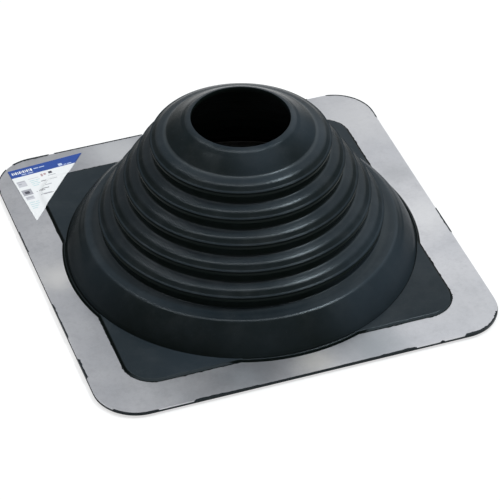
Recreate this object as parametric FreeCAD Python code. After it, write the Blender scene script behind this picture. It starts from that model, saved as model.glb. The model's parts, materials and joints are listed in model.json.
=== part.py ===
"""Pipe flashing boot: a stepped rubber cone that seals a pipe where it passes through a roof.

Three pieces: the rubber boot, moulded in one with its base and its sealing ribs, a frame of soft
aluminium bonded to the top of the base and lapped by the rubber on its inner edge, and a printed
three-cornered sticker over one corner of the frame.

Millimetres, +Z up. The origin is on the axis of the cone, at the level that the base rests on.
"""
import FreeCAD, Part
import math
import os
from FreeCAD import Vector

# ---- driving sizes ----------------------------------------------------------------------------

# rubber
wall = 2.6                  # thickness of the cone's wall
flange_thickness = 1.6      # rubber under the metal frame

# mouth and collar, at the top of the cone
mouth_radius = 30.0         # the hole that a pipe is pushed through
mouth_land = 3.0            # straight length of that hole
lip_width = 3.3             # the sloping edge round the mouth
lip_drop = 1.4
collar_run = 12.2           # the slope from the lip to the first ledge
collar_drop = 9.2
collar_bulge = 0.7          # how far the collar swells out at its middle

# rings: the cone is cut off at one of them, to suit the pipe
ring_count = 5
ring_step = 8.2             # growth in radius from one ring to the next
ring_pitch = 13.2           # height from one ring to the next
ledge_slope = 20.0          # fall of each ledge, degrees
crest_inset = 2.6           # from the crest of a ledge out to the foot of its ring's wall
band_proud = 0.5            # the top of a ring's wall stands out over its foot
band_height = 8.5           # where the shoulder would meet the wall, above the foot
bead_height = 0.8           # the thin bead that guides the knife
bead_width = 1.5

# bell, the widest step
bell_ledge = 9.7
bell_ledge_slope = 9.7      # degrees
bell_run = 12.1
bell_height = 18.25         # from the web up to the crest of the bell
bell_bulge = 1.1            # how far the bell's wall swells out at its middle

# web: the raised flat rubber between the bell and the metal frame
rim_width = 2.5             # the narrow rim left outside the bell at the middle of each side
web_rise = 1.3              # above the metal
web_bevel = 1.3
web_corner = 19.0

# metal frame
frame_neck = 16.2           # its width where the bell comes nearest to the edge
frame_width = 23.0          # its width at the corners of the web
frame_thickness = 0.9
frame_corner = 27.0
frame_lap = 2.0             # how far it runs in under the rubber of the web

# sealing ribs under the base
rib_count = 2
rib_height = 1.0
rib_width = 1.8
rib_pitch = 9.0
rib_inset = 3.0             # from the edge of the base to the first rib

# sticker
label_long = 54.2           # its two square-cornered sides
label_short = 50.5
label_turn = 4.0            # degrees, from square with the base
label_inset_x = 10.1        # its square corner, from the corner of the base
label_inset_y = 9.3
label_thickness = 0.15

# ---- sizes that follow ------------------------------------------------------------------------

collar_foot_radius = mouth_radius + lip_width + collar_run
ring_radius = [collar_foot_radius + ring_step * k for k in range(ring_count + 1)]
bell_crest_radius = ring_radius[-1] + bell_ledge
bell_foot_radius = bell_crest_radius + bell_run
rim_radius = bell_foot_radius + rim_width
base_half = rim_radius + frame_neck
web_half = base_half - frame_width

flange_top = rib_height + flange_thickness
frame_top = flange_top + frame_thickness
web_top = frame_top + web_rise
bell_crest_z = web_top + bell_height
bell_ledge_drop = bell_ledge * math.tan(math.radians(bell_ledge_slope))
lowest_foot_z = bell_crest_z + bell_ledge_drop
ring_foot_z = [lowest_foot_z + ring_pitch * (ring_count - k) for k in range(ring_count + 1)]
lip_foot_z = ring_foot_z[0] + collar_drop
top_z = lip_foot_z + lip_drop


# ---- outlines ---------------------------------------------------------------------------------

def turned(corners):
    """Solid of revolution about the cone's axis, from the (radius, height) corners of its outline."""
    points = [Vector(radius, 0, height) for radius, height in corners]
    outline = Part.makePolygon(points + points[:1])
    return Part.Face(outline).revolve(Vector(0, 0, 0), Vector(0, 0, 1), 360)


def along(start, end, distance):
    """The point that lies a distance from start on the line to end."""
    share = distance / math.dist(start, end)
    return start[0] + (end[0] - start[0]) * share, start[1] + (end[1] - start[1]) * share


def swollen(start, end, bulge):
    """The middle of the slope from start down to end, moved outwards by the bulge."""
    run, rise = end[0] - start[0], end[1] - start[1]
    length = math.hypot(run, rise)
    return (start[0] + end[0] - 2 * bulge * rise / length) / 2, (start[1] + end[1] + 2 * bulge * run / length) / 2


def rounded_square(half, corner, z, height):
    """Square slab with rounded corners, centred on the axis."""
    side = 2 * half
    slab = Part.makeBox(side, side, height, Vector(-half, -half, z))
    uprights = [e for e in slab.Edges if abs(e.tangentAt(e.FirstParameter).z) > 0.99]
    return slab.makeFillet(corner, uprights)


# ---- rubber boot ------------------------------------------------------------------------------

def ring_outside(k):
    """Crest, shoulder, bead and undercut wall of ring k, from the top down."""
    foot_r, foot_z = ring_radius[k], ring_foot_z[k]
    ledge_run = ring_step - crest_inset
    crest = (foot_r - crest_inset, ring_foot_z[k - 1] - ledge_run * math.tan(math.radians(ledge_slope)))
    shoulder = (foot_r + band_proud, foot_z + band_height)
    bead_z = shoulder[1] - bead_width / 4
    return [
        crest,
        along(shoulder, crest, bead_width / 2),
        (shoulder[0] + bead_height, bead_z),
        (shoulder[0], bead_z - bead_width / 2),
        (foot_r, foot_z),
    ]


def outer_form():
    """The cone as if solid, from the mouth down to the narrow rim round the bell's foot."""
    lip = (mouth_radius + lip_width, lip_foot_z)
    collar_foot = (ring_radius[0], ring_foot_z[0])
    bell_crest = (bell_crest_radius, bell_crest_z)
    bell_foot = (bell_foot_radius, web_top)
    corners = [
        (0, top_z),
        (mouth_radius, top_z),
        lip,
        swollen(lip, collar_foot, collar_bulge),
        collar_foot,
    ]
    for k in range(1, ring_count + 1):
        corners += ring_outside(k)
    corners += [
        bell_crest,
        swollen(bell_crest, bell_foot, bell_bulge),
        bell_foot,
        (rim_radius - web_bevel, web_top),
        (rim_radius, frame_top),
        (rim_radius, rib_height),
        (0, rib_height),
    ]
    return turned(corners)


def cavity():
    """The hollow of the cone, a wall's thickness inside its outer form, open at both ends."""
    fall = math.tan(math.radians(ledge_slope))
    under = wall / math.cos(math.radians(ledge_slope))
    bell_fall = math.tan(math.radians(bell_ledge_slope))
    bell_under = wall / math.cos(math.radians(bell_ledge_slope))
    bell_lean = math.atan2(bell_height, bell_run)
    bell_inset = wall / math.sin(bell_lean)
    foot_r = bell_foot_radius - bell_inset + web_top / math.tan(bell_lean)
    corners = [
        (0, top_z + wall),
        (mouth_radius, top_z + wall),
        (mouth_radius, top_z - mouth_land),
    ]
    for k in range(ring_count + 1):
        inner_r = ring_radius[k] - wall
        if k:
            corners.append((inner_r, ring_foot_z[k - 1] - (ring_step - wall) * fall - under))
        slope, drop = (bell_fall, bell_under) if k == ring_count else (fall, under)
        corners.append((inner_r, ring_foot_z[k] + wall * slope - drop))
    corners += [
        (bell_crest_radius - wall / 2, bell_crest_z + wall / 2 * bell_fall - bell_under),
        (foot_r, 0),
        (foot_r, -wall),
        (0, -wall),
    ]
    return turned(corners)


def sealing_ribs():
    """Low square ribs with rounded corners, one inside the other, that bed into the sealant."""
    ribs = []
    for k in range(rib_count):
        inset = rib_inset + rib_pitch * k
        outside = rounded_square(base_half - inset, frame_corner - inset, 0, rib_height)
        inside = rounded_square(base_half - inset - rib_width, frame_corner - inset - rib_width, 0, rib_height)
        ribs.append(outside.cut(inside))
    return ribs


def bevelled_web(grow=0.0):
    """The raised square of rubber, bevelled along its edge, and grown all over by grow."""
    slab = rounded_square(web_half + grow, web_corner + grow, flange_top, frame_thickness + web_rise + grow)
    top = slab.BoundBox.ZMax
    rim = [e for e in slab.Edges if abs(e.BoundBox.ZMin - top) < 1e-6]
    return slab.makeChamfer(web_bevel, rim)


def rubber_boot(frame):
    base = rounded_square(base_half, frame_corner, rib_height, flange_thickness)
    solid = base.fuse([bevelled_web(), outer_form()] + sealing_ribs())
    solid = solid.cut([cavity(), frame])
    return solid.removeSplitter()


# ---- metal frame and sticker ------------------------------------------------------------------

def metal_frame():
    """Flat frame, flush with the edge of the base, that runs in under the web and the rim."""
    sheet = rounded_square(base_half, frame_corner, flange_top, frame_thickness)
    window = rounded_square(web_half - frame_lap, web_corner - frame_lap, flange_top, frame_thickness)
    round_window = Part.makeCylinder(rim_radius - frame_lap, frame_thickness, Vector(0, 0, flange_top))
    return sheet.cut(window.fuse(round_window)).removeSplitter()


def label():
    """Thin three-cornered sticker that follows the step from the metal up on to the web."""
    corner = Vector(label_inset_x - base_half, base_half - label_inset_y, flange_top)
    outline = Part.makePolygon([
        Vector(0, 0, 0), Vector(label_short, 0, 0), Vector(0, -label_long, 0), Vector(0, 0, 0),
    ])
    column = Part.Face(outline).extrude(Vector(0, 0, web_top))
    column.rotate(Vector(0, 0, 0), Vector(0, 0, 1), label_turn)
    column.translate(corner)
    on_metal = rounded_square(base_half, frame_corner, frame_top, label_thickness)
    over_web = bevelled_web(label_thickness)
    skin = on_metal.fuse(over_web).cut([bevelled_web(), metal_frame()])
    return skin.common(column).removeSplitter()


def main():
    os.makedirs("parts", exist_ok=True)
    frame = metal_frame()
    pieces = {"rubber_boot": rubber_boot(frame), "metal_frame": frame, "label": label()}
    for name, shape in pieces.items():
        solids = shape.Solids
        box = shape.BoundBox
        print(f"{name}: {len(solids)} solid(s), valid {shape.isValid()}, {shape.Volume / 1000:.2f} cm3, "
              f"{len(shape.Faces)} faces, z {box.ZMin:.2f} to {box.ZMax:.2f}")
        (solids[0] if len(solids) == 1 else shape).exportStep(f"parts/{name}.step")


main()
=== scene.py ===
# %% [markdown]
# # Pipe flashing boot
# A roofer pulls this black rubber cone over a pipe that comes up through the roof. The cone is cut
# off at the ring that suits the pipe, and a frame of soft aluminium, bonded to the square base, is
# pressed down to the shape of the roof sheets. A printed sticker lies over one corner.
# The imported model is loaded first. It fixes every place and size: all that is made below is in
# metres, in the same frame, and stands for one of its nodes.

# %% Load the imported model
import json
import math

import bmesh
import bpy
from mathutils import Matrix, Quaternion, Vector, noise

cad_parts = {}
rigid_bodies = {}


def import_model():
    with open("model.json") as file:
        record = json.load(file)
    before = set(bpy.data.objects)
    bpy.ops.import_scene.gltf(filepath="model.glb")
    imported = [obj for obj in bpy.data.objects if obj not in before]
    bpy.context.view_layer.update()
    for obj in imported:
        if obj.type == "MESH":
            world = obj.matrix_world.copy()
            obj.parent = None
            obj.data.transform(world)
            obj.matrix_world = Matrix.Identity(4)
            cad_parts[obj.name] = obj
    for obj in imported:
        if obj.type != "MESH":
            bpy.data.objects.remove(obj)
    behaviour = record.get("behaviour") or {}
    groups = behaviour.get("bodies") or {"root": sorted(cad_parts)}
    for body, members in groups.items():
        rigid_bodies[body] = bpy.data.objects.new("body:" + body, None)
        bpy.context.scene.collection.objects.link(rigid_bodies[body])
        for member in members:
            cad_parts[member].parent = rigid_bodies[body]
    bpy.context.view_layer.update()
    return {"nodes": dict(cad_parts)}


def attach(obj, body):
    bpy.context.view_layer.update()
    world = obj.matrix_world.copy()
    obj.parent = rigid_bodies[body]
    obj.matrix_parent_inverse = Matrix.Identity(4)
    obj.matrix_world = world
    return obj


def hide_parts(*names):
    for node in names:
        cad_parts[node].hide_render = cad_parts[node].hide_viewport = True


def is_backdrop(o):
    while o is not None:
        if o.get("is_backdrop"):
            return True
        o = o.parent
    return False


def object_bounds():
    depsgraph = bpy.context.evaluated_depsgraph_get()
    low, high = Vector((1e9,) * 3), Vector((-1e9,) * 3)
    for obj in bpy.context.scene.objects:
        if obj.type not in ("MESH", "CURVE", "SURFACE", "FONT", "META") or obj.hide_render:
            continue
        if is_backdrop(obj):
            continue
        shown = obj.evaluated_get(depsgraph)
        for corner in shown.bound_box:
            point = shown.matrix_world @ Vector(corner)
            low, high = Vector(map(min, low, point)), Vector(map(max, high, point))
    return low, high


for leftover in list(bpy.data.objects):
    bpy.data.objects.remove(leftover)
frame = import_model()
print("nodes:", sorted(frame["nodes"]))

# %% [markdown]
# ## Measures
# The working measures are in millimetres, as on a workshop drawing, and MM turns them into metres
# where a shape is made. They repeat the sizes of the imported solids, so a new piece fits its node.

# %% Measures
MM = 0.001

WALL = 2.6
MOUTH_RADIUS, MOUTH_LAND, TOP = 30.0, 3.0, 101.308
BASE_LOW, BASE_TOP, METAL_TOP, WEB_TOP = 1.0, 2.6, 3.5, 4.8

RING_PITCH, RING_RISE = 8.2, 13.2
RING_RADIUS = [45.5 + RING_PITCH * k for k in range(6)]
RING_FOOT = [90.708 - RING_RISE * k for k in range(6)]
LEDGE_SLOPE, BELL_SLOPE = math.radians(20.0), math.radians(9.7)
LEDGE_FALL, BELL_FALL = math.tan(LEDGE_SLOPE), math.tan(BELL_SLOPE)
BELL_CREST, BELL_FOOT = (96.2, 23.05), (108.3, WEB_TOP)
RIM_RADIUS = 110.8

BASE_HALF, BASE_CORNER = 127.0, 27.0
WEB_HALF, WEB_CORNER, WEB_BEVEL = 104.0, 19.0, 1.3
LAP = 2.0  # how far the web reaches over the metal
APART = 0.02  # keeps two faces from lying in each other, which a Boolean can't sort out
print("rings:", [(round(r, 1), round(z, 1)) for r, z in zip(RING_RADIUS, RING_FOOT)])

# %% [markdown]
# ## Working by hand
# An operator acts on whatever is selected, so each step starts with nothing selected, and then
# picks vertices, edges or faces by their place or by the way that they face. These few helpers
# stand for the mouse: they open a piece for editing, pick in it, and close it again.

# %% Selecting and editing
def only(piece):
    bpy.ops.object.select_all(action="DESELECT")
    piece.select_set(True)
    bpy.context.view_layer.objects.active = piece


def new_piece(name):
    """The primitive that was just added, under its own name."""
    piece = bpy.context.active_object
    piece.name = piece.data.name = name
    return piece


def open_edit(piece, by="VERT"):
    only(piece)
    bpy.ops.object.mode_set(mode="EDIT")
    bpy.ops.mesh.select_mode(type=by)
    bpy.ops.mesh.select_all(action="DESELECT")


def close_edit():
    bpy.ops.object.mode_set(mode="OBJECT")


def pick_all():
    bpy.ops.mesh.select_all(action="SELECT")


def pick(piece, kind, wanted):
    """Selects the vertices, edges or faces for which wanted(element) is true, and nothing else."""
    bpy.ops.mesh.select_all(action="DESELECT")
    mesh = bmesh.from_edit_mesh(piece.data)
    found = [e for e in getattr(mesh, kind) if wanted(e)]
    for element in found:
        element.select = True
    mesh.select_flush_mode()
    bmesh.update_edit_mesh(piece.data)
    return len(found)


def facing(face, direction):
    return face.normal.dot(Vector(direction)) > 0.99


# %% Shaping and finishing
def bevel(width, segments, affect="EDGES"):
    """Rounds the selected edges or vertices over a width in mm."""
    bpy.ops.mesh.bevel(offset=width * MM, offset_type="OFFSET", affect=affect,
                       segments=segments, profile=0.5)


def apply_modifier(piece, kind, **settings):
    """Adds one modifier and applies it at once."""
    only(piece)
    modifier = piece.modifiers.new(kind.lower(), kind)
    for key, value in settings.items():
        setattr(modifier, key, value)
    bpy.ops.object.modifier_apply(modifier=modifier.name)


def combine(piece, tool, operation):
    """Joins the tool to the piece as one solid, or cuts it out, and removes the tool."""
    apply_modifier(piece, "BOOLEAN", object=tool, operation=operation, solver="EXACT")
    bpy.data.objects.remove(tool)


def tidy_normals(piece):
    """Merges doubled vertices, then turns every face outwards."""
    open_edit(piece)
    pick_all()
    bpy.ops.mesh.remove_doubles(threshold=0.002 * MM)
    bpy.ops.mesh.normals_make_consistent(inside=False)
    close_edit()


def report(piece):
    triangles = sum(len(p.vertices) - 2 for p in piece.data.polygons)
    size = [round(v * 1000, 2) for v in piece.dimensions]
    print(f"{piece.name}: {len(piece.data.polygons)} faces, {triangles} triangles, {size} mm")


# %% [markdown]
# ## The wall of the cone, seen in section
# The real cone is one moulding of even thickness: an outer form of steps and an inner form that
# follows it. It could be built from a stack of rings, but the ledges, beads and crests would not
# run into each other as rubber does. So the section of the wall is drawn once, point by point, as
# a closed outline. Each corner carries the length over which it is rounded, because rubber has no
# sharp edges and the soft crests are what catches the light.

# %% Outline of the wall
def toward(start, end, distance):
    share = distance / math.dist(start, end)
    return start[0] + (end[0] - start[0]) * share, start[1] + (end[1] - start[1]) * share


def swelling(start, end, bulge, steps=4):
    """Points of a shallow arch from start to end that stands out by the bulge at its middle."""
    run, rise = end[0] - start[0], end[1] - start[1]
    length = math.hypot(run, rise)
    points = []
    for i in range(1, steps):
        t = i / steps
        out = 4 * bulge * t * (1 - t) / length
        points.append((start[0] + run * t - out * rise, start[1] + rise * t + out * run, 0.0))
    return points


CREST_INSET, SHOULDER_OUT, SHOULDER_UP = 2.6, 0.5, 8.5
BELOW_SHOULDER = [  # out from the ring's radius, up from its foot, length rounded, in mm
    (1.2, 8.62, 0.3), (1.25, 8.05, 0.3),  # a thin bead
    (0.6, 7.7, 0.1),  # the groove under it
    (0.95, 7.35, 0.2), (1.12, 5.6, 0.4), (0.3, 4.9, 0.2),  # a belt
    (-0.25, 0.05, 0.8),  # the wall leans in a little, down to its foot
]


def ring_outline(k):
    """Ring k from its crest down to its foot."""
    radius, foot = RING_RADIUS[k], RING_FOOT[k]
    ledge = RING_PITCH - CREST_INSET
    crest = (radius - CREST_INSET, RING_FOOT[k - 1] - ledge * LEDGE_FALL)
    root = toward((radius + SHOULDER_OUT, foot + SHOULDER_UP), crest, 0.75)
    below = [(radius + out, foot + up, r) for out, up, r in BELOW_SHOULDER]
    return [(*crest, 1.1), (*root, 0.18)] + below


# %% [markdown]
# ## From the mouth to the inside
# The outline goes from the mouth down the outside, ring by ring, to the bell and the rim of the
# web, and comes back up the inside. Ledges and bell are drawn as shallow arches, because moulded
# rubber is never quite flat.

# %% Go round the outline
LIP, DRAWN_HIGH = (33.3, 99.908), 0.08  # rounding the mouth's corner lowers it again
outside = [(MOUTH_RADIUS, TOP + DRAWN_HIGH, 0.35), (*LIP, 0.9)]
outside += swelling(LIP, (RING_RADIUS[0], RING_FOOT[0]), 0.2)
outside += [(RING_RADIUS[0], RING_FOOT[0], 0.8)]
for k in range(1, 6):
    ring = ring_outline(k)
    outside += swelling(outside[-1][:2], ring[0][:2], 0.09) + ring
outside += swelling(outside[-1][:2], BELL_CREST, 0.25) + [(*BELL_CREST, 1.3)]
outside += swelling(BELL_CREST, BELL_FOOT, 1.3, 6)
GROOVE = WEB_TOP - 0.55  # floor of the thin groove round the foot of the bell
outside += [
    (BELL_FOOT[0] - 0.15, WEB_TOP + 0.2, 0.0),
    (BELL_FOOT[0] + 0.05, GROOVE, 0.2),
    (BELL_FOOT[0] + 0.55, GROOVE, 0.2),
    (BELL_FOOT[0] + 0.8, WEB_TOP - APART, 0.2),
    (RIM_RADIUS - WEB_BEVEL, WEB_TOP - APART, 0.25),
    (RIM_RADIUS, METAL_TOP, 0.0),
    (RIM_RADIUS - LAP, METAL_TOP, 0.0),
    (RIM_RADIUS - LAP, BASE_LOW + APART, 0.0),
]

under, bell_under = WALL / math.cos(LEDGE_SLOPE), WALL / math.cos(BELL_SLOPE)
bell_lean = math.atan2(BELL_CREST[1] - BELL_FOOT[1], BELL_FOOT[0] - BELL_CREST[0])
inner_foot = BELL_FOOT[0] - WALL / math.sin(bell_lean)
inner_foot += (WEB_TOP - BASE_LOW) / math.tan(bell_lean)
inside = [(MOUTH_RADIUS, TOP - MOUTH_LAND, 0.3)]
for k in range(6):
    inner = RING_RADIUS[k] - WALL
    if k:
        ledge_end = RING_FOOT[k - 1] - (RING_PITCH - WALL) * LEDGE_FALL
        inside.append((inner, ledge_end - under, 0.6))
    slope, drop = (BELL_FALL, bell_under) if k == 5 else (LEDGE_FALL, under)
    inside.append((inner, RING_FOOT[k] + WALL * slope - drop, 0.8))
inside += [
    (BELL_CREST[0] - WALL / 2, BELL_CREST[1] + WALL / 2 * BELL_FALL - bell_under, 1.2),
    (inner_foot, BASE_LOW + APART, 0.0),
]
wall_outline = outside + inside[::-1]
print("corners in the outline of the wall:", len(wall_outline))

# %% [markdown]
# ## Drawing the outline
# A plane is merged to a single point and set on the first corner. Then that point is extruded
# from corner to corner, the last gap is closed, and the outline is filled, so that its corners
# can be rounded with a vertex bevel. One bevel rounds all the corners that share a radius.

# %% Draw a section and round its corners
def draw_section(name, outline):
    bpy.ops.mesh.primitive_plane_add(size=1.0 * MM)
    piece = new_piece(name)
    open_edit(piece)
    pick_all()
    bpy.ops.mesh.merge(type="CENTER")
    places = [Vector((x * MM, 0.0, z * MM)) for x, z, _ in outline]
    bpy.ops.transform.translate(value=places[0])
    for here, there in zip(places, places[1:]):
        bpy.ops.mesh.extrude_region_move(TRANSFORM_OT_translate={"value": there - here})
    pick(piece, "verts", lambda v: len(v.link_edges) == 1)
    bpy.ops.mesh.edge_face_add()
    pick_all()
    bpy.ops.mesh.edge_face_add()
    for reach in sorted({r for _, _, r in outline if r > 0}):
        corners = [Vector((x * MM, 0.0, z * MM)) for x, z, r in outline if r == reach]
        pick(piece, "verts", lambda v: any((v.co - c).length < 0.003 * MM for c in corners))
        segments = 2 if reach < 0.5 else 4 if reach < 1.0 else 8  # more steps for wider rounds
        bevel(reach, segments, "VERTICES")
    pick_all()
    bpy.ops.mesh.delete(type="ONLY_FACE")
    close_edit()
    return piece


boot = draw_section("rubber_moulding", wall_outline)
print("points in the section:", len(boot.data.vertices))

# %% [markdown]
# ## Turning the section into the cone
# The section is spun once round the vertical axis. 256 steps keep the round edges round even in
# a close view. The first and last copies meet, so doubles are merged before the faces are turned
# outwards.

# %% Spin the wall
SPIN_STEPS = 256
open_edit(boot)
pick_all()
bpy.ops.mesh.spin(steps=SPIN_STEPS, angle=math.tau, center=(0, 0, 0), axis=(0, 0, 1))
close_edit()
tidy_normals(boot)
report(boot)

# %% [markdown]
# ## The square base and its ribs
# The base is a flat rubber slab with wide round corners. Two low ribs run round its underside and
# bed into sealant on the roof. The slab starts as a cube, its upright edges are bevelled into the
# corners, and the ribs are drawn by insetting the bottom face and extruding the narrow bands.

# %% Slabs with round corners
def rounded_slab(name, half, corner, low, high, steps=20):
    bpy.ops.mesh.primitive_cube_add(size=1.0, location=(0, 0, (low + high) / 2 * MM))
    piece = new_piece(name)
    piece.scale = (2 * half * MM, 2 * half * MM, (high - low) * MM)
    bpy.ops.object.transform_apply(location=True, rotation=True, scale=True)
    open_edit(piece, "EDGE")
    half_way = 0.5 * (high - low) * MM
    pick(piece, "edges", lambda e: abs((e.verts[0].co - e.verts[1].co).z) > half_way)
    bevel(corner, steps)
    close_edit()
    return piece


def depth_inside(x, y, half, corner):
    """How far a point, in mm, lies inside a rounded square."""
    ax, ay = abs(x) - (half - corner), abs(y) - (half - corner)
    if ax > 0 and ay > 0:
        return corner - math.hypot(ax, ay)
    return corner - max(ax, ay)


def soften_rim(piece, direction, width, segments):
    """Bevels the outline of the flat face that looks in a direction."""
    pick(piece, "faces", lambda f: facing(f, direction))
    bpy.ops.mesh.region_to_loop()
    bevel(width, segments)


# %% Base with two ribs
FLASH_TOP = METAL_TOP + 0.17
RIB_INSETS, RIB_WIDTH, RIB_ROUND, BASE_ROUND = (3.0, 12.0), 1.8, 0.4, 1.2
base = rounded_slab("base", BASE_HALF, BASE_CORNER, BASE_LOW, FLASH_TOP)
open_edit(base, "FACE")
soften_rim(base, (0, 0, -1), BASE_ROUND, 3)
pick(base, "faces", lambda f: facing(f, (0, 0, -1)))
reached = BASE_ROUND
for inset in RIB_INSETS:
    bpy.ops.mesh.inset(thickness=(inset - reached) * MM)
    bpy.ops.mesh.inset(thickness=RIB_WIDTH * MM)
    reached = inset + RIB_WIDTH


def in_rib(face):
    centre = face.calc_center_median() / MM
    depth = depth_inside(centre.x, centre.y, BASE_HALF, BASE_CORNER)
    return facing(face, (0, 0, -1)) and any(i < depth < i + RIB_WIDTH for i in RIB_INSETS)


print("faces in the ribs:", pick(base, "faces", in_rib))
bpy.ops.mesh.extrude_region_move(TRANSFORM_OT_translate={"value": (0, 0, -BASE_LOW * MM)})
bpy.ops.mesh.region_to_loop()
bevel(RIB_ROUND, 3)
close_edit()
report(base)

# %% [markdown]
# ## The tray and its ragged flash
# The metal lies in the rubber, flush with the edge of the base. When the rubber was pressed round
# it, some squeezed over the edge and tore when the mould was opened, which left an irregular black
# skin, called flash, along parts of the edge. Elsewhere the bare metal reaches the edge. A plain
# slab is cut out for the metal. Then a second cutter opens the top: its outline is finely divided,
# and each point is moved in from the edge by the width of the flash at that place, with some
# unevenness. Where the width is negative, the cutter reaches past the edge and leaves no skin.

# %% Width of the flash
EDGE_SKIN, BARE = 0.3, -0.5  # wall left beside the metal, and the width where there is no flash
TAPER, FINE_TEAR, BROAD_TEAR = 0.9, 1.7, 8.0  # start of a patch, and sizes of its unevenness
FLASH_PATCHES = [  # lowest x, highest x, lowest y, highest y, width of the skin
    (-112, -88, 114, 128, 1.3), (-128, -112, 100, 121, 0.4), (-84, -24, 120, 128, 0.6),
    (-128, -120, 36, 57, 0.6), (-128, -120, -49, -15, 0.75), (-128, -120, -87, -70, 1.7),
    (-120, -95, -128, -112, 0.45), (-73, -53, -128, -120, 1.2), (-53, -33, -128, -120, 0.6),
    (-33, 18, -128, -120, 0.06), (18, 43, -128, -120, 0.35), (44, 65, -128, -120, 0.9),
    (80.4, 82.2, -128, -120, 0.9), (98, 124, -128, -104, 1.6), (119, 128, -34, -8, 0.7),
    (104, 128, 94, 128, 0.7), (40, 92, 120, 128, 0.2),
]


def unevenness(x, y, size, seed):
    return 0.5 + 0.5 * noise.noise(Vector((x / size, y / size, seed)))


def flash_width(x, y):
    """Width of the skin over the metal at a point of the edge, in mm; negative where bare."""
    width = BARE
    for x0, x1, y0, y1, reach in FLASH_PATCHES:
        if x0 < x < x1 and y0 < y < y1:
            end = max(min(x - x0, x1 - x), min(y - y0, y1 - y))
            grown = min(1.0, end / TAPER)
            torn = 0.25 + 1.1 * unevenness(x, y, FINE_TEAR, 7.0)
            torn *= 0.4 + 0.9 * unevenness(x, y, BROAD_TEAR, 3.0)
            width = max(width, BARE + (EDGE_SKIN + reach * torn - BARE) * grown)
    return width


print("patches of flash:", len(FLASH_PATCHES))

# %% [markdown]
# ## A slab with a ragged outline
# A torn edge could be sculpted, but not easily moved or repeated. So a flat square gets round
# corners and many short edges, a function pushes each point in, and the outline is extruded to a
# cutter. The same helper makes the web's own thin skin later.

# %% Cut the tray, then the ragged opening over it
CORNER_STEPS, OUTLINE_CUTS, SHORTEST_SIDE = 40, 230, 50  # the last one in mm


def ragged_slab(name, half, corner, low, high, inward):
    """A rounded square whose outline is moved in, point by point, by inward(x, y) in mm."""
    bpy.ops.mesh.primitive_plane_add(size=2 * half * MM, location=(0, 0, low * MM))
    piece = new_piece(name)
    bpy.ops.object.transform_apply(location=True)
    open_edit(piece)
    pick_all()
    bevel(corner, CORNER_STEPS, "VERTICES")
    bpy.ops.mesh.select_mode(type="EDGE")
    pick(piece, "edges", lambda e: e.calc_length() > SHORTEST_SIDE * MM)
    bpy.ops.mesh.subdivide(number_cuts=OUTLINE_CUTS)
    mesh = bmesh.from_edit_mesh(piece.data)
    straight = half - corner
    for v in mesh.verts:
        x, y = v.co.x / MM, v.co.y / MM
        nearest = Vector((max(-straight, min(straight, x)), max(-straight, min(straight, y)), 0))
        v.co += (nearest - Vector((x, y, 0))).normalized() * inward(x, y) * MM
    bmesh.update_edit_mesh(piece.data)
    pick_all()
    bpy.ops.mesh.extrude_region_move(TRANSFORM_OT_translate={"value": (0, 0, (high - low) * MM)})
    close_edit()
    tidy_normals(piece)
    return piece


tray = rounded_slab("tray", BASE_HALF - EDGE_SKIN, BASE_CORNER - EDGE_SKIN,
                    BASE_TOP, METAL_TOP - 0.03)
combine(base, tray, "DIFFERENCE")
opening = ragged_slab("opening", BASE_HALF, BASE_CORNER, BASE_TOP + 0.05, METAL_TOP + 1,
                      flash_width)
combine(base, opening, "DIFFERENCE")
report(base)

# %% [markdown]
# ## The web
# The web is the raised square of rubber round the foot of the bell. It laps over the inner edge
# of the metal, so its upper part is 2 mm larger than its core. Its edge is cut off at a slant, and
# the upper line of that slant is softened, because it shows as a thin light line on the real one.
# Round its foot a thin, torn skin of the same rubber creeps out over the metal, made as a ragged
# slab too. All of it is joined to the base as one solid, and a round hole is cut for the bell.

# %% Web, with the core that the metal closes round
web = rounded_slab("web", WEB_HALF, WEB_CORNER, METAL_TOP, WEB_TOP)
open_edit(web, "FACE")
soften_rim(web, (0, 0, 1), WEB_BEVEL - APART, 1)
soften_rim(web, (0, 0, 1), 0.3, 2)
close_edit()
core = rounded_slab("core", WEB_HALF - LAP, WEB_CORNER - LAP, BASE_LOW + 0.5, METAL_TOP + 0.4)


def skirt_width(x, y):
    """The web's own thin skin reaches over the metal by this much: outwards, so it is negative."""
    torn = max(0.0, noise.noise(Vector((x / 1.5, y / 1.5, 5.0)))) * unevenness(x, y, 14.0, 9.0)
    return -0.3 - 1.5 * torn


skirt = ragged_slab("skirt", WEB_HALF, WEB_CORNER, METAL_TOP - 0.06, METAL_TOP + 0.15,
                    skirt_width)
bpy.ops.mesh.primitive_cylinder_add(vertices=SPIN_STEPS, radius=(BELL_FOOT[0] + 0.4) * MM,
                                    depth=20 * MM)
hole = new_piece("hole")
for part in (web, core, skirt):
    combine(base, part, "UNION")
combine(base, hole, "DIFFERENCE")
report(base)

# %% [markdown]
# ## One moulding
# The cone and the base are one casting. They could overlap as two meshes, but an exact union
# leaves one closed skin with no hidden walls.

# %% Join the cone and the base
combine(boot, base, "UNION")
tidy_normals(boot)
report(boot)

# %% [markdown]
# ## The aluminium frame
# The real frame is soft sheet, just under a millimetre thick, with a window for the web and the
# bell. It is never quite flat: handling leaves it faintly wavy, and that is what makes its
# reflections blotchy. The window is cut from a slab with round corners. The round rim of the bell
# reaches past the square at the middle of each side, so a round window is cut as well.

# %% Cut the window
metal = rounded_slab("aluminium_frame", BASE_HALF - EDGE_SKIN - APART, BASE_CORNER - EDGE_SKIN,
                     BASE_TOP, METAL_TOP, steps=30)
window = rounded_slab("window", WEB_HALF - LAP, WEB_CORNER - LAP, 0, 8)
combine(metal, window, "DIFFERENCE")
bpy.ops.mesh.primitive_cylinder_add(vertices=SPIN_STEPS, radius=(RIM_RADIUS - LAP) * MM,
                                    depth=20 * MM)
combine(metal, new_piece("round_window"), "DIFFERENCE")
report(metal)

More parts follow.
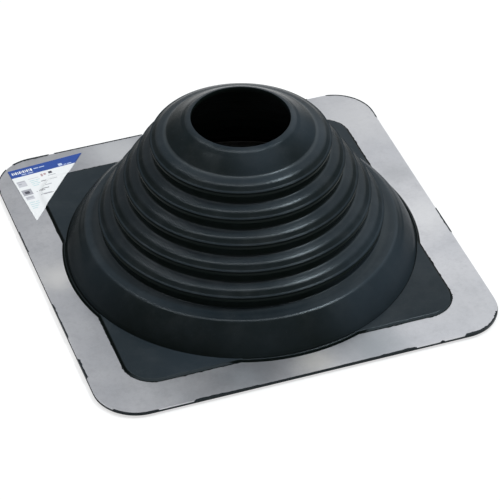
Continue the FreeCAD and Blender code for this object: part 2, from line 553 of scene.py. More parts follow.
# %% [markdown]
# ## The waviness of handled sheet
# A bump in the material could fake this, but real waves also bend the outline and the mirrored
# light. So the sheet is cut into a net of small faces, and two soft noises, one broad and one
# finer, lift and lower them by a few hundredths of a millimetre.

# %% Net of faces, and the waves
NET_PITCH, NET_START = 5.2, 0.37
net_reach = int(BASE_HALF / NET_PITCH)
open_edit(metal, "FACE")
for k in range(-net_reach, net_reach + 1):
    for across in (Vector((1, 0, 0)), Vector((0, 1, 0))):
        pick_all()
        bpy.ops.mesh.bisect(plane_co=across * (k * NET_PITCH + NET_START) * MM, plane_no=across)
pick_all()
bpy.ops.mesh.remove_doubles(threshold=0.02 * MM)
close_edit()
for size, depth in ((38.0, 0.16), (11.0, 0.03)):
    waves = bpy.data.textures.new("waves", "CLOUDS")
    waves.noise_scale = size * MM
    waves.noise_depth = 1
    apply_modifier(metal, "DISPLACE", texture=waves, texture_coords="LOCAL", direction="Z",
                   strength=depth * MM, mid_level=0.5)
report(metal)

# %% [markdown]
# ## The sticker
# A printed paper triangle is stuck over the back left corner of the metal, with one point on the
# web. It could be a flat plate, but paper follows what it lies on: it climbs the slanted edge of
# the web in a soft curve. So a square loses one corner, the triangle that is left is cut into a
# fine net, and each point of the net is laid on that height.

# %% Cut the sticker
STICKER_CORNER, STICKER_TURN = (-116.9, 117.7), math.radians(4.0)
STICKER_SHORT, STICKER_LONG, PAPER, PAPER_NET = 50.5, 54.2, 0.15, 1.2

bpy.ops.mesh.primitive_plane_add(size=1.0)
sticker = new_piece("printed_sticker")
sticker.scale = (STICKER_SHORT * MM, STICKER_LONG * MM, 1)
sticker.location = (STICKER_SHORT / 2 * MM, -STICKER_LONG / 2 * MM, 0)
bpy.ops.object.transform_apply(location=True, rotation=True, scale=True)
open_edit(sticker)
pick(sticker, "verts", lambda v: v.co.x > 1 * MM and v.co.y < -1 * MM)
bpy.ops.mesh.delete(type="VERT")
pick_all()
bpy.ops.mesh.edge_face_add()
for k in range(1, int(STICKER_LONG / PAPER_NET) + 1):
    for across in (Vector((1, 0, 0)), Vector((0, -1, 0))):
        pick_all()
        bpy.ops.mesh.bisect(plane_co=across * k * PAPER_NET * MM, plane_no=across)
close_edit()
sticker.rotation_euler = (0, 0, STICKER_TURN)
sticker.location = (STICKER_CORNER[0] * MM, STICKER_CORNER[1] * MM, 0)
bpy.ops.object.transform_apply(location=True, rotation=True, scale=True)
print("faces in the sticker's net:", len(sticker.data.polygons))

# %% [markdown]
# ## How the paper lies
# A cloth simulation could drop it, but the paper is stiff and glued down, so its height is plain:
# just over the metal, a soft climb at the edge of the web, and a few loose places. Its thickness
# is added last, upwards, with Solidify.

# %% Lay the sticker down
CLIMB_START, CLIMB_RUN = -0.7, 2.3  # the climb begins just outside the web's edge
OVER_METAL, LOOSE = 0.1, 0.05


def rest_height(x, y):
    """Height of the paper's underside over the metal and the slanted edge of the web, in mm."""
    depth = depth_inside(x, y, WEB_HALF, WEB_CORNER)
    climb = max(0.0, min(1.0, (depth - CLIMB_START) / CLIMB_RUN))
    climb = climb * climb * (3 - 2 * climb)
    lifted = 0.02 + LOOSE * max(0.0, noise.noise(Vector((x / 9, y / 9, 1.0))))
    return METAL_TOP + OVER_METAL + lifted + (WEB_TOP - METAL_TOP - 0.12) * climb


for v in sticker.data.vertices:
    v.co.z = rest_height(v.co.x / MM, v.co.y / MM) * MM
open_edit(sticker)
pick_all()
bpy.ops.mesh.normals_make_consistent(inside=False)
close_edit()
if sticker.data.polygons[0].normal.z < 0:
    sticker.data.flip_normals()
apply_modifier(sticker, "SOLIDIFY", thickness=PAPER * MM, offset=1.0)
report(sticker)

# %% [markdown]
# ## Smooth shading
# Faces that meet at a small angle are shaded as one curve, and sharper corners stay sharp. The
# angle suits each piece: rubber keeps its steps, metal its cut edges.

# %% Shade by angle
for piece, angle in ((boot, 38), (metal, 30), (sticker, 40)):
    only(piece)
    bpy.ops.object.shade_smooth_by_angle(angle=math.radians(angle))
    print(f"{piece.name}: smooth up to {angle} degrees")

# %% [markdown]
# ## Shared effects
# Three small node groups hold what is used more than once. Each one only puts out a mask or a
# value: the shader itself stays in the material. A few helpers add the nodes that come up most,
# so that a material reads as a list of what lies on it.

# %% Helpers for nodes
def start_group(name, inputs, outputs):
    group = bpy.data.node_groups.new(name, "ShaderNodeTree")
    for label, kind, value in inputs:
        socket = group.interface.new_socket(label, in_out="INPUT", socket_type=kind)
        if value is not None:
            socket.default_value = value
    for label, kind in outputs:
        group.interface.new_socket(label, in_out="OUTPUT", socket_type=kind)
    return group, group.nodes.new("NodeGroupInput"), group.nodes.new("NodeGroupOutput")


def calculate(tree, operation, *values):
    """A Math node; each value is a number or a socket."""
    node = tree.nodes.new("ShaderNodeMath")
    node.operation = operation
    for socket, value in zip(node.inputs, values):
        if isinstance(value, (int, float)):
            socket.default_value = value
        else:
            tree.links.new(value, socket)
    return node.outputs[0]


def times(tree, first, *others):
    """The product of masks or values."""
    for other in others:
        first = calculate(tree, "MULTIPLY", first, other)
    return first


def ramp(tree, value, low, high, out_low=0.0, out_high=1.0):
    """Moves a value softly from the range low..high to another one, and stops at its ends."""
    node = tree.nodes.new("ShaderNodeMapRange")
    node.interpolation_type = "SMOOTHSTEP"
    for socket, number in zip(node.inputs[1:5], (low, high, out_low, out_high)):
        socket.default_value = number
    tree.links.new(value, node.inputs[0])
    return node.outputs[0]


def measure(tree, operation, vector, other=None):
    """The LENGTH of a vector, or its DISTANCE or DOT_PRODUCT with another."""
    node = tree.nodes.new("ShaderNodeVectorMath")
    node.operation = operation
    tree.links.new(vector, node.inputs[0])
    if other is not None:
        node.inputs[1].default_value = other
    return node.outputs["Value"]


def split_xyz(tree, vector):
    node = tree.nodes.new("ShaderNodeSeparateXYZ")
    tree.links.new(vector, node.inputs[0])
    return node.outputs


def between(tree, value, start, full, fading, gone, share=1.0):
    """A mask that rises from start to full and falls again from fading to gone, all in mm."""
    return times(tree, ramp(tree, value, start * MM, full * MM),
                 ramp(tree, value, gone * MM, fading * MM, 0.0, share))


def speckle(tree, vector, scale, detail=2.0, roughness=0.5):
    node = tree.nodes.new("ShaderNodeTexNoise")
    node.inputs["Scale"].default_value = scale
    node.inputs["Detail"].default_value = detail
    node.inputs["Roughness"].default_value = roughness
    tree.links.new(vector, node.inputs["Vector"])
    return node.outputs["Fac"]


# %% Node groups
# fine grain: how high the skin of a moulded or rolled surface stands, at two sizes
grain, g_in, g_out = start_group(
    "fine_grain", [("Vector", "NodeSocketVector", None), ("Fine", "NodeSocketFloat", 2500.0),
                   ("Broad", "NodeSocketFloat", 300.0), ("Share", "NodeSocketFloat", 0.5)],
    [("Height", "NodeSocketFloat")])
heights = []
for size in ("Fine", "Broad"):
    node = grain.nodes.new("ShaderNodeTexNoise")
    node.inputs["Detail"].default_value = 2.0
    grain.links.new(g_in.outputs["Vector"], node.inputs["Vector"])
    grain.links.new(g_in.outputs[size], node.inputs["Scale"])
    heights.append(node.outputs["Fac"])
broad_part = times(grain, heights[1], g_in.outputs["Share"])
grain.links.new(calculate(grain, "ADD", heights[0], broad_part), g_out.inputs[0])

# dust: sparse pale specks that lie mostly on faces that look up
dust, d_in, d_out = start_group(
    "dust", [("Vector", "NodeSocketVector", None), ("Normal", "NodeSocketVector", None),
             ("Amount", "NodeSocketFloat", 0.5)],
    [("Mask", "NodeSocketFloat")])
specks = ramp(dust, speckle(dust, d_in.outputs["Vector"], 1400.0, 1.0), 0.70, 0.80)
film = ramp(dust, speckle(dust, d_in.outputs["Vector"], 60.0, 4.0, 0.6), 0.42, 0.72)
lies = ramp(dust, split_xyz(dust, d_in.outputs["Normal"])["Z"], 0.2, 0.95)
both = calculate(dust, "ADD", specks, times(dust, film, 0.35))
dust.links.new(times(dust, both, lies, d_in.outputs["Amount"]), d_out.inputs[0])

# print bar: 1 inside a rectangle of the sticker, measured in mm from its square corner
bar, b_in, b_out = start_group(
    "print_bar", [("Vector", "NodeSocketVector", None)] +
    [(side, "NodeSocketFloat", 0.0) for side in ("Left", "Right", "Near", "Far")],
    [("Mask", "NodeSocketFloat")])
at = split_xyz(bar, b_in.outputs["Vector"])
INK_EDGE = 0.14
sides = []
for axis, low, high in (("X", "Left", "Right"), ("Y", "Near", "Far")):
    for sign, limit in ((1, low), (-1, high)):
        gap = calculate(bar, "SUBTRACT", at[axis], b_in.outputs[limit])
        sides.append(ramp(bar, times(bar, gap, float(sign)), -INK_EDGE, INK_EDGE))
bar.links.new(times(bar, *sides), b_out.inputs[0])
print("node groups:", [g.name for g in bpy.data.node_groups])


# %% [markdown]
# ## Starting a material
# Each finish starts the same way: one Principled shader whose even values are set on its own
# sockets, and the place on the piece in Object coordinates, so a pattern stays where it is.

# %% Starting and mixing
def start_material(name, colour, roughness, metallic=0.0, specular=0.5):
    """A material with one Principled shader, whose even values are set on its own sockets."""
    material = bpy.data.materials.new(name)
    material.use_nodes = True
    tree = material.node_tree
    shader = tree.nodes["Principled BSDF"]
    shader.inputs["Base Color"].default_value = (*colour, 1)
    shader.inputs["Roughness"].default_value = roughness
    shader.inputs["Metallic"].default_value = metallic
    shader.inputs["Specular IOR Level"].default_value = specular
    place = tree.nodes.new("ShaderNodeTexCoord").outputs["Object"]
    return material, tree, shader, place


def use_group(tree, group, **values):
    node = tree.nodes.new("ShaderNodeGroup")
    node.node_tree = group
    for key, value in values.items():
        if isinstance(value, (int, float)):
            node.inputs[key].default_value = value
        else:
            tree.links.new(value, node.inputs[key])
    return node.outputs[0]


def blend_colour(tree, mask, first, second):
    """Goes from the first colour to the second as the mask rises; each is a colour or a socket."""
    node = tree.nodes.new("ShaderNodeMix")
    node.data_type = "RGBA"
    tree.links.new(mask, node.inputs["Factor"])
    for socket, value in ((node.inputs[6], first), (node.inputs[7], second)):
        if isinstance(value, tuple):
            socket.default_value = (*value, 1)
        else:
            tree.links.new(value, socket)
    return node.outputs[2]


def near_place(tree, place, uneven, centre, reach, share):
    """A mask that is `share` at a place, in mm, and fades raggedly to 0 round the reach."""
    apart = measure(tree, "DISTANCE", place, [v * MM for v in centre])
    pushed = calculate(tree, "MULTIPLY_ADD", uneven, 0.4 * reach * MM, apart)
    return ramp(tree, pushed, 1.2 * reach * MM, 0.25 * reach * MM, 0.0, share)


def add_bump(tree, shader, height, distance):
    node = tree.nodes.new("ShaderNodeBump")
    node.inputs["Distance"].default_value = distance
    node.inputs["Strength"].default_value = 1.0
    tree.links.new(height, node.inputs["Height"])
    tree.links.new(node.outputs["Normal"], shader.inputs["Normal"])


# %% [markdown]
# ## Black rubber
# The boot is moulded from a black rubber with a faint blue cast. Its colour is painted greyer
# where a face lies level and darker where it stands upright: painted light from above on the
# level faces and painted shade on the walls. So three tones follow the way that a face looks.

# %% Rubber: tones
rubber, tree, shader, place = start_material("black_rubber", (0.006, 0.0085, 0.009), 0.25,
                                             specular=0.15)
shader.inputs["Specular Tint"].default_value = (0.85, 0.95, 1.0, 1)
turned = tree.nodes.new("ShaderNodeNewGeometry").outputs["Normal"]
looks = split_xyz(tree, turned)
looks_up = looks["Z"]
# painted light and shade: level faces are coloured lighter, upright ones darker
STEEP_PAINTED_SHADE, SLOPING_PAINTED_SHADE = (0.0078, 0.0118, 0.0100), (0.0106, 0.0144, 0.0149)
LEVEL_PAINTED_LIGHT = (0.0165, 0.0236, 0.0290)
body = blend_colour(tree, ramp(tree, looks_up, 0.05, 0.55), STEEP_PAINTED_SHADE, SLOPING_PAINTED_SHADE)
body = blend_colour(tree, ramp(tree, looks_up, 0.76, 0.98), body, LEVEL_PAINTED_LIGHT)
print("tones of the rubber:", STEEP_PAINTED_SHADE, SLOPING_PAINTED_SHADE, LEVEL_PAINTED_LIGHT)

# %% [markdown]
# ### Bloom, painted light and darker patches
# Lighter grey-blue patches lie on the bell, the collar and the web: partly bloom, and partly
# painted light where the lamps light the right and front of the bell and the collar. One corner
# of the web is painted darker. A patch could be painted on vertices, but the distance from a place
# on the piece, broken up by noise, stays smooth on any mesh. A faint mottle over everything ties
# the patches together.

# %% Rubber: bloom and painted light
PALE_BLOOM_AND_PAINTED_LIGHT, DARKER_PATCH, MOTTLE = (0.038, 0.052, 0.066), (0.0075, 0.0125, 0.0160), (0.026, 0.034, 0.042)
BLOOM_AND_PAINTED_LIGHT = [  # places with a lighter grey-blue patch, partly bloom and partly painted light, or a darker one: x, y, z, reach, all in mm, share, colour
    (78, -68, 14, 68, 0.62, PALE_BLOOM_AND_PAINTED_LIGHT), (104, 6, 10, 58, 0.42, PALE_BLOOM_AND_PAINTED_LIGHT), (-104, -10, 12, 50, 0.30, PALE_BLOOM_AND_PAINTED_LIGHT),
    (0, -38, 98, 26, 0.36, PALE_BLOOM_AND_PAINTED_LIGHT), (34, -14, 96, 30, 0.45, PALE_BLOOM_AND_PAINTED_LIGHT), (-60, -96, 5, 45, 0.28, PALE_BLOOM_AND_PAINTED_LIGHT),
    (42, -95, 16, 38, 0.40, PALE_BLOOM_AND_PAINTED_LIGHT), (-24, -106, 8, 34, 0.10, PALE_BLOOM_AND_PAINTED_LIGHT),
    (88, -88, 5, 45, 0.42, DARKER_PATCH),
]
WEB_PATCH_BELOW = 6  # a place lower than this marks the web, a higher one the walls and ledges
patchy = speckle(tree, place, 75.0, 5.0, 0.65)
on_walls, on_web = ramp(tree, looks_up, 0.99, 0.93), ramp(tree, looks_up, 0.97, 0.995)
# lighter patches: partly bloom, partly painted light on the bell and collar; darker ones are
# painted darker
for x, y, z, reach, share, colour in BLOOM_AND_PAINTED_LIGHT:
    patch_mask = near_place(tree, place, patchy, (x, y, z), reach, share)
    patch_mask = times(tree, patch_mask, on_walls if z > WEB_PATCH_BELOW else on_web)
    body = blend_colour(tree, patch_mask, body, colour)
mottle = ramp(tree, patchy, 0.35, 0.72, 0.0, 0.16)
body = blend_colour(tree, mottle, body, MOTTLE)
print("patches of bloom:", len(BLOOM_AND_PAINTED_LIGHT))

# %% [markdown]
# ### Painted light and dust, ring by ring
# A pale line is painted in the corner at the foot of each ring, as a painted highlight, and the
# belt under each bead is painted paler than the wall below it, as painted light. The rings repeat
# every 13.2 mm, so the height is folded with MODULO into the height above the foot of its own
# ring, and one mask then serves all of them.

# %% Rubber: what repeats on the rings
BELOW_FOOT = 0.7  # the folded height starts this far under a ring's foot, mm
ROOT_PAINTED_HIGHLIGHT, BELT_PAINTED_LIGHT, SPECKS = (0.050, 0.060, 0.066), (0.0145, 0.0210, 0.0190), (0.20, 0.205, 0.21)
x, y, z = split_xyz(tree, place)
above_foot = calculate(tree, "ADD", z, (2 * RING_RISE - RING_FOOT[5] + BELOW_FOOT) * MM)
above_foot = calculate(tree, "MODULO", above_foot, RING_RISE * MM)
# painted highlight: a pale line in the corner at the foot of each ring
root_highlight = times(tree, between(tree, above_foot, 0.0, 0.6, 1.0, 1.5, 0.5),
                ramp(tree, looks_up, 0.55, 0.85))
body = blend_colour(tree, root_highlight, body, ROOT_PAINTED_HIGHLIGHT)
on_rings = ramp(tree, z, RING_FOOT[5] * MM, (RING_FOOT[5] + 2) * MM)
# painted light: the belt under each bead is coloured paler than the wall below it
on_belt = times(tree, between(tree, above_foot, 5.3, 5.9, 8.2, 8.5),
                ramp(tree, looks_up, 0.5, 0.35), on_rings)
body = blend_colour(tree, on_belt, body, BELT_PAINTED_LIGHT)
# the front of the lowest ledge is coloured darker
lowest_ledge = between(tree, z, 22.9, 23.2, 24.8, 25.2)
patch_mask = near_place(tree, place, patchy, (-33, -93, 24), 60, 0.75)
body = blend_colour(tree, times(tree, patch_mask, lowest_ledge), body, DARKER_PATCH)
dusty = use_group(tree, dust, Vector=place, Normal=turned, Amount=0.12)
body = blend_colour(tree, dusty, body, SPECKS)
print("lowest ring foot:", round(RING_FOOT[5], 1), "mm")

# %% [markdown]
# ### Edges
# The slanted edge of the web is painted darker than its top, except in front, as painted shade.
# The sides of the base are painted a little paler, and palest in front, as painted light. Both
# are found by place: low on the piece, and by the larger of the distances along x and y.

# %% Rubber: edges
# painted shade on the web's slanted edge, painted light on the sides of the base
WEB_EDGE_PAINTED_SHADE, SIDE_EDGE_PAINTED_LIGHT = (0.004, 0.006, 0.0055), (0.017, 0.022, 0.025)
FRONT_EDGE_PAINTED_LIGHT = (0.036, 0.045, 0.050)
outer = calculate(tree, "MAXIMUM", calculate(tree, "ABSOLUTE", x), calculate(tree, "ABSOLUTE", y))
border = times(tree, ramp(tree, outer, 102.2 * MM, 102.6 * MM, 0.0, 0.6),
               ramp(tree, z, (WEB_TOP + 0.5) * MM, (WEB_TOP + 0.2) * MM),
               ramp(tree, y, -101 * MM, -97 * MM))
low = ramp(tree, z, (WEB_TOP - 0.1) * MM, (WEB_TOP - 0.3) * MM)
flat_place = tree.nodes.new("ShaderNodeCombineXYZ")
tree.links.new(x, flat_place.inputs[0])
tree.links.new(y, flat_place.inputs[1])
from_axis = measure(tree, "LENGTH", flat_place.outputs[0])
lit_edge = times(tree, ramp(tree, looks["Y"], -0.15, -0.5),
                 ramp(tree, from_axis, 111.5 * MM, 112.5 * MM))
edge_painted_light_and_shade = blend_colour(tree, ramp(tree, outer, 110 * MM, 112 * MM), WEB_EDGE_PAINTED_SHADE, SIDE_EDGE_PAINTED_LIGHT)
edge_painted_light_and_shade = blend_colour(tree, lit_edge, edge_painted_light_and_shade, FRONT_EDGE_PAINTED_LIGHT)
tree.links.new(blend_colour(tree, calculate(tree, "MAXIMUM", border, low), body, edge_painted_light_and_shade),
               shader.inputs["Base Color"])
print("nodes so far:", len(tree.nodes))

# %% [markdown]
# ### Shine and grain
# This rubber reflects little, and softly, so mainly the rounded crests shine. Beads and one place
# at the mouth are dulled by wear. Roughness drifts slowly over the piece, and a fine grain in the
# Bump node breaks up the reflections.

# %% Rubber: shine, roughness and grain
RUBBER_GRAIN = 0.00004  # height of the grain in metres, as for the others below
shine = calculate(tree, "MAXIMUM", ramp(tree, looks_up, 0.78, 0.875, 0.015, 0.16),
                  ramp(tree, looks_up, 0.45, 0.30, 0.015, 0.05))
on_bead = between(tree, above_foot, 7.9, 8.3, 9.5, 9.9, 0.75)
at_mouth = near_place(tree, place, patchy, (6, -33, 100), 13, 0.9)
dulled = calculate(tree, "MAXIMUM", on_bead, at_mouth)
shine = times(tree, shine, calculate(tree, "SUBTRACT", 1.0, dulled))
tree.links.new(shine, shader.inputs["Specular IOR Level"])
broad = speckle(tree, place, 22.0, 3.0, 0.6)
tree.links.new(ramp(tree, broad, 0.3, 0.75, 0.20, 0.255), shader.inputs["Roughness"])
add_bump(tree, shader, use_group(tree, grain, Vector=place, Fine=2600.0, Broad=260.0, Share=1.6),
         RUBBER_GRAIN)
print("nodes in the rubber:", len(tree.nodes))

# %% [markdown]
# ## Satin aluminium
# Soft rolled sheet has a fine grain in one direction, a cloudy tone where it was handled, and
# small scuffs. The grain is a noise stretched along the way that it was rolled, and the clouds
# and scuffs are noises of three sizes.

# %% Aluminium: tone
SHADED, BRIGHT = (0.630, 0.641, 0.677), (0.746, 0.746, 0.770)
SMUDGE, SCUFF = (0.50, 0.51, 0.535), (0.50, 0.50, 0.52)
aluminium, tree, shader, place = start_material("satin_aluminium", (0.80, 0.81, 0.83), 0.38, 1.0)
stretch = tree.nodes.new("ShaderNodeMapping")
stretch.inputs["Scale"].default_value = (0.06, 1.0, 1.0)
tree.links.new(place, stretch.inputs["Vector"])
rolled = speckle(tree, stretch.outputs[0], 1500.0, 3.0, 0.6)
cloudy = speckle(tree, place, 14.0, 4.0, 0.6)
mottled = speckle(tree, place, 130.0, 4.0, 0.7)
tone = blend_colour(tree, ramp(tree, cloudy, 0.3, 0.7), SHADED, BRIGHT)
tone = blend_colour(tree, ramp(tree, mottled, 0.45, 0.75, 0.0, 0.35), tone, SMUDGE)
fine_mottle = speckle(tree, place, 420.0, 3.0, 0.7)
tone = blend_colour(tree, ramp(tree, fine_mottle, 0.42, 0.70, 0.0, 0.22), tone, SCUFF)
print("tones of the sheet:", SHADED, BRIGHT)

# %% [markdown]
# ### Painted reflections and worn places
# Some places are painted brighter and others darker: painted reflections of the light off the
# bell and of the dark cone, painted light from the side, and places worn by hands. They could
# come from one more noise, but each has a place, so each is listed and made ragged by a common
# noise.

# %% Aluminium: painted reflections, wear, roughness and grain
SHEET_GRAIN = 0.000012
WORN_AND_PAINTED_REFLECTIONS = [  # painted reflections and places worn by hands: x, y, reach, all in mm, then share and colour
    # the bright patch in front at x 4 is a painted reflection of light off the bell, the dark one
    # at x 42 a painted reflection and shadow of the cone
    (4, -117, 20, 0.72, (0.92, 0.90, 0.86)), (42, -117, 32, 0.80, (0.40, 0.43, 0.46)),
    (-79, -117, 30, 0.25, (0.40, 0.42, 0.45)), (-40, -117, 24, 0.35, (0.60, 0.67, 0.74)),
    # the dark patch at the front right and the bright one at the back right are painted light from
    # the side
    (112, -100, 44, 0.22, (0.42, 0.43, 0.45)), (-116, 7, 22, 0.95, (0.95, 0.94, 0.93)),
    (-44, 116, 30, 0.85, (0.92, 0.93, 0.95)), (116, -12, 30, 0.6, (0.88, 0.88, 0.89)),
    (116, 33, 17, 0.4, (0.46, 0.47, 0.49)), (112, 96, 46, 0.5, (0.84, 0.84, 0.85)),
]
ragged = speckle(tree, place, 90.0, 3.0, 0.6)
for x, y, reach, share, colour in WORN_AND_PAINTED_REFLECTIONS:
    patch_mask = near_place(tree, place, ragged, (x, y, METAL_TOP), reach, share)
    tone = blend_colour(tree, patch_mask, tone, colour)
tree.links.new(tone, shader.inputs["Base Color"])
rough = calculate(tree, "ADD", ramp(tree, cloudy, 0.3, 0.7, 0.29, 0.36),
                  times(tree, rolled, 0.10))
tree.links.new(rough, shader.inputs["Roughness"])
add_bump(tree, shader, calculate(tree, "ADD", rolled, times(tree, mottled, 1.5)), SHEET_GRAIN)
print("worn places:", len(WORN_AND_PAINTED_REFLECTIONS))

# %% [markdown]
# ## Printed paper
# The sticker is white coated paper with a blue band and small printed marks. The marks here are
# plain bars and blocks of colour that say nothing. An image could hold them, but bars made by
# nodes stay sharp in a close view. A Mapping node turns the place on the piece into millimetres
# from the sticker's square corner, and each bar is one copy of the print group.

# %% Paper and print
PAPER_GRAIN = 0.00001
paper, tree, shader, place = start_material("printed_paper", (0.86, 0.87, 0.875), 0.36,
                                            specular=0.4)
mapping = tree.nodes.new("ShaderNodeMapping")
mapping.vector_type = "TEXTURE"
mapping.inputs["Location"].default_value = (STICKER_CORNER[0] * MM, STICKER_CORNER[1] * MM, 0)
mapping.inputs["Rotation"].default_value = (0, 0, STICKER_TURN)
mapping.inputs["Scale"].default_value = (MM, -MM, MM)
tree.links.new(place, mapping.inputs["Vector"])
on_sticker = mapping.outputs[0]

WHITE, BLUE, PALE = (0.87, 0.88, 0.885), (0.024, 0.075, 0.33), (0.55, 0.64, 0.84)
CYAN, LIGHT_GREY, GREY = (0.52, 0.71, 0.73), (0.60, 0.60, 0.64), (0.40, 0.40, 0.44)
ROSE, DARK = (0.52, 0.36, 0.38), (0.08, 0.08, 0.10)
PRINT = [  # colour, then rectangles from left to right and from near to far, mm
    (BLUE, [(-1, 60, -1, 8.1)]),
    (WHITE, [(1.6, 2.3, 2.6, 5.1), (2.9, 3.4, 2.6, 5.1), (3.9, 4.8, 2.6, 5.1),
             (5.4, 5.9, 2.6, 5.1), (6.5, 7.4, 2.5, 5.0), (7.9, 8.3, 2.5, 5.0),
             (8.9, 9.8, 2.5, 5.0), (10.4, 10.9, 2.5, 5.0), (11.4, 12.4, 2.4, 4.9),
             (12.9, 13.4, 2.4, 4.9), (14.0, 15.2, 2.4, 4.9)]),
    (PALE, [(16.4, 19.6, 3.0, 3.8), (20.1, 23.6, 3.0, 3.8), (7.2, 10.4, 6.1, 6.9),
            (11.2, 15.0, 6.0, 6.8), (32.2, 34.8, 4.9, 7.2), (35.6, 37.4, 6.6, 7.3),
            (38.0, 40.8, 6.6, 7.3)]),
    (CYAN, [(9.6, 13.0, 14.4, 15.0), (13.6, 16.4, 14.4, 15.0), (9.9, 14.8, 16.2, 16.8),
            (10.1, 12.2, 18.0, 18.6), (12.8, 15.6, 18.0, 18.6), (10.2, 14.0, 19.8, 20.4),
            (1.9, 5.6, 35.4, 36.0), (6.2, 8.3, 35.4, 36.0), (2.0, 8.0, 37.4, 38.0),
            (2.1, 6.9, 39.4, 40.0), (2.1, 5.4, 41.3, 41.9)]),
    (LIGHT_GREY, [(1.3, 7.0, 12.6, 18.6), (1.5, 6.9, 28.9, 32.6), (9.3, 16.2, 12.4, 12.9)]),
    (GREY, [(1.2, 7.6, 22.0, 28.0), (22.4, 27.6, 13.4, 13.9), (17.0, 21.4, 23.2, 23.8),
            (11.2, 18.4, 31.2, 31.8), (21.6, 26.8, 18.7, 19.2), (10.0, 10.8, 26.2, 26.8),
            (1.7, 6.4, 12.9, 13.6), (2.2, 4.0, 15.0, 16.0), (1.9, 6.2, 30.0, 30.8)]),
    (ROSE, [(18.2, 19.6, 10.4, 13.0), (20.2, 21.8, 10.4, 12.2)]),
    (DARK, [(23.6, 26.0, 9.8, 12.0), (16.4, 19.9, 17.3, 17.9),
            (12.0, 18.6, 26.1, 26.7), (2.8, 5.9, 23.8, 26.4), (12.6, 15.4, 27.6, 28.1),
            (13.0, 19.4, 31.9, 32.3)]),
]
ink = WHITE
for colour, bars in PRINT:
    covered = None
    for left, right, near, far in bars:
        one = use_group(tree, bar, Vector=on_sticker, Left=left, Right=right, Near=near, Far=far)
        covered = one if covered is None else calculate(tree, "MAXIMUM", covered, one)
    ink = blend_colour(tree, covered, ink, colour)
tree.links.new(ink, shader.inputs["Base Color"])
add_bump(tree, shader, use_group(tree, grain, Vector=place, Fine=1800.0, Broad=200.0, Share=1.0),
         PAPER_GRAIN)
print("printed bars:", sum(len(bars) for _, bars in PRINT))

# %% [markdown]
# ## Joining the pieces to the part
# Every piece rides on the one body of this part, stands for its solid, and gets its material,
# which the hidden solid is given too.

# %% Ride, replace and give the material
for piece, node, slot, material in ((boot, "rubber_boot", "rubber", rubber),
                                    (metal, "metal_frame", "aluminium", aluminium),
                                    (sticker, "label", "sticker", paper)):
    piece.data.materials.clear()
    piece.data.materials.append(material)
    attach(piece, "root")
    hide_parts(node)
    frame["nodes"][node].data.materials.clear()
    frame["nodes"][node].data.materials.append(material)
    print(f"{piece.name} stands for {node}")

# %% [markdown]
# ## Floor
# The part lies on a plain floor that has to look white without throwing light up at it. So the
# floor glows only for the camera, in mirrors and through glass, by Light Path, and not right
# under the part, where the contact shadow belongs.

# %% Floor
FLOOR_GLOW, GLOW_STARTS, GLOW_FULL = 0.64, 0.108, 0.116  # strength, then metres from the middle
bpy.ops.mesh.primitive_plane_add(size=8.0)
floor = new_piece("floor")
open_edit(floor)
pick_all()
bpy.ops.mesh.subdivide(number_cuts=3)
close_edit()
floor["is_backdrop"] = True
plain, tree, shader, place = start_material("plain_floor", (0.4, 0.4, 0.4), 0.9, specular=0.0)
shader.inputs["Emission Color"].default_value = (1, 1, 1, 1)
path = tree.nodes.new("ShaderNodeLightPath")
seen = calculate(tree, "MAXIMUM", path.outputs["Is Camera Ray"], path.outputs["Is Glossy Ray"])
seen = calculate(tree, "MAXIMUM", seen, path.outputs["Is Transmission Ray"])
open_floor = ramp(tree, measure(tree, "LENGTH", place), GLOW_STARTS, GLOW_FULL)
tree.links.new(times(tree, seen, FLOOR_GLOW, open_floor), shader.inputs["Emission Strength"])
floor.data.materials.append(plain)
print("floor:", [round(v, 1) for v in floor.dimensions], "m")

# %% [markdown]
# ## Surroundings
# In a studio with a lit backdrop, the surroundings are brighter behind the part than in front, so
# level faces shine and upright ones stay dark. A faint second glow in front keeps the near walls
# readable. A picture of a studio could do this too, but two soft lobes are easier to steer.

# %% World
LOBES = [  # direction of the middle, nearness where the glow starts and is full, and strengths
    ((0.32, 0.90, 0.30), 0.30, 0.97, 0.12, 0.48), ((-0.10, -0.90, 0.38), 0.72, 0.98, 0.0, 0.34),
]
world = bpy.data.worlds.new("studio")
bpy.context.scene.world = world
world.use_nodes = True
tree = world.node_tree
direction = tree.nodes.new("ShaderNodeTexCoord").outputs["Generated"]
behind, in_front = (
    ramp(tree, measure(tree, "DOT_PRODUCT", direction, Vector(middle).normalized()), *limits)
    for middle, *limits in LOBES)
tree.links.new(calculate(tree, "ADD", behind, in_front),
               tree.nodes["Background"].inputs["Strength"])
tree.nodes["Background"].inputs["Color"].default_value = (0.96, 0.98, 1.0, 1)
print("lobes of the surroundings:", len(LOBES))

# %% [markdown]
# ## Lamps
# A long, narrow strip overhead draws a thin light line along each rounded crest. A small bright
# lamp on the right adds stronger glints, a short strip behind on the left lights the far crests,
# and a dim panel lifts the right side. One large lamp would make those thin lines broad and dull.

# %% Lamps
LAMP_AIM = Vector((0, 0, 0.03))


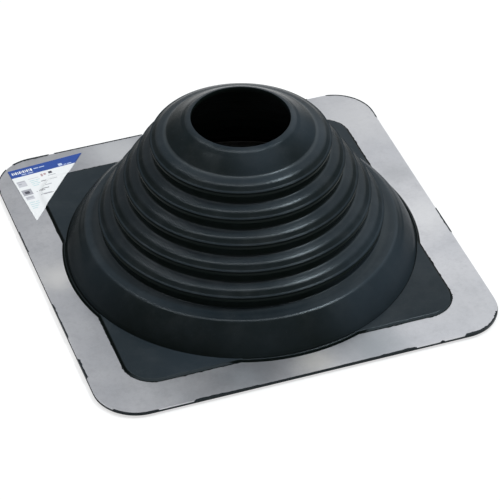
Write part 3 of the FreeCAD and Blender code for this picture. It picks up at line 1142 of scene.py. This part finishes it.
def add_softbox(name, azimuth, elevation, distance, width, height, radiance, roll=0.0):
    """A flat lamp that looks at the part. Azimuth 0 is to the right, and 90 is behind."""
    a, e = math.radians(azimuth), math.radians(elevation)
    away = Vector((math.cos(a) * math.cos(e), math.sin(a) * math.cos(e), math.sin(e)))
    bpy.ops.object.light_add(type="AREA", location=away * distance + LAMP_AIM)
    lamp = bpy.context.active_object
    lamp.name = lamp.data.name = name
    lamp.data.shape, lamp.data.size, lamp.data.size_y = "RECTANGLE", width, height
    lamp.data.energy = radiance * math.pi * width * height
    lamp.rotation_mode = "QUATERNION"
    turn = Quaternion((0, 0, 1), math.radians(roll))
    lamp.rotation_quaternion = away.to_track_quat("Z", "Y") @ turn
    print(f"{name}: {lamp.data.energy:.1f} W")
    return lamp


add_softbox("overhead_strip", azimuth=-109, elevation=84.5, distance=1.72,
            width=2.6, height=0.15, radiance=13.0)
spot = add_softbox("overhead_spot", azimuth=-11, elevation=65.5, distance=1.7,
                   width=0.28, height=0.28, radiance=49.0)
spot.data.color = (0.88, 0.96, 1.0)
add_softbox("overhead_left", azimuth=132, elevation=59, distance=1.7,
            width=0.15, height=0.52, radiance=8.0)
add_softbox("side_panel", azimuth=40, elevation=38, distance=0.93,
            width=0.7, height=0.8, radiance=0.40, roll=25)

# %% [markdown]
# ## Camera
# The camera stands in front and a little to the left, and looks down on the part through a long
# lens, so the square base keeps nearly parallel sides. Standard shows colours as they are written.

# %% Camera
AIM, DISTANCE = Vector((0.019285, 0.038516, -0.037193)), 1.7957
AZIMUTH, ELEVATION, ROLL = math.radians(-19.453), math.radians(39.49), math.radians(-0.163)
back = Vector((math.sin(AZIMUTH) * math.cos(ELEVATION), -math.cos(AZIMUTH) * math.cos(ELEVATION),
               math.sin(ELEVATION)))
bpy.ops.object.camera_add(location=AIM + back * DISTANCE)
camera = bpy.context.active_object
camera.name = "camera"
camera.rotation_mode = "QUATERNION"
camera.rotation_quaternion = back.to_track_quat("Z", "Y") @ Quaternion((0, 0, 1), ROLL)
camera.data.sensor_width, camera.data.lens = 36.0, 201.93
camera.data.clip_start, camera.data.clip_end = 0.05, 30.0
bpy.context.scene.camera = camera
bpy.context.scene.view_settings.view_transform = "Standard"
print("camera:", [round(v, 3) for v in camera.location], "lens", camera.data.lens, "mm")

# %% [markdown]
# ## Size of what is shown
# The box of what is shown, leaving out the floor and the hidden imported solids, is printed in
# mm.

# %% Sizes and finish
low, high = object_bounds()
print("visual box:", [round(v * 1000, 2) for v in (*low, *high)], "mm")
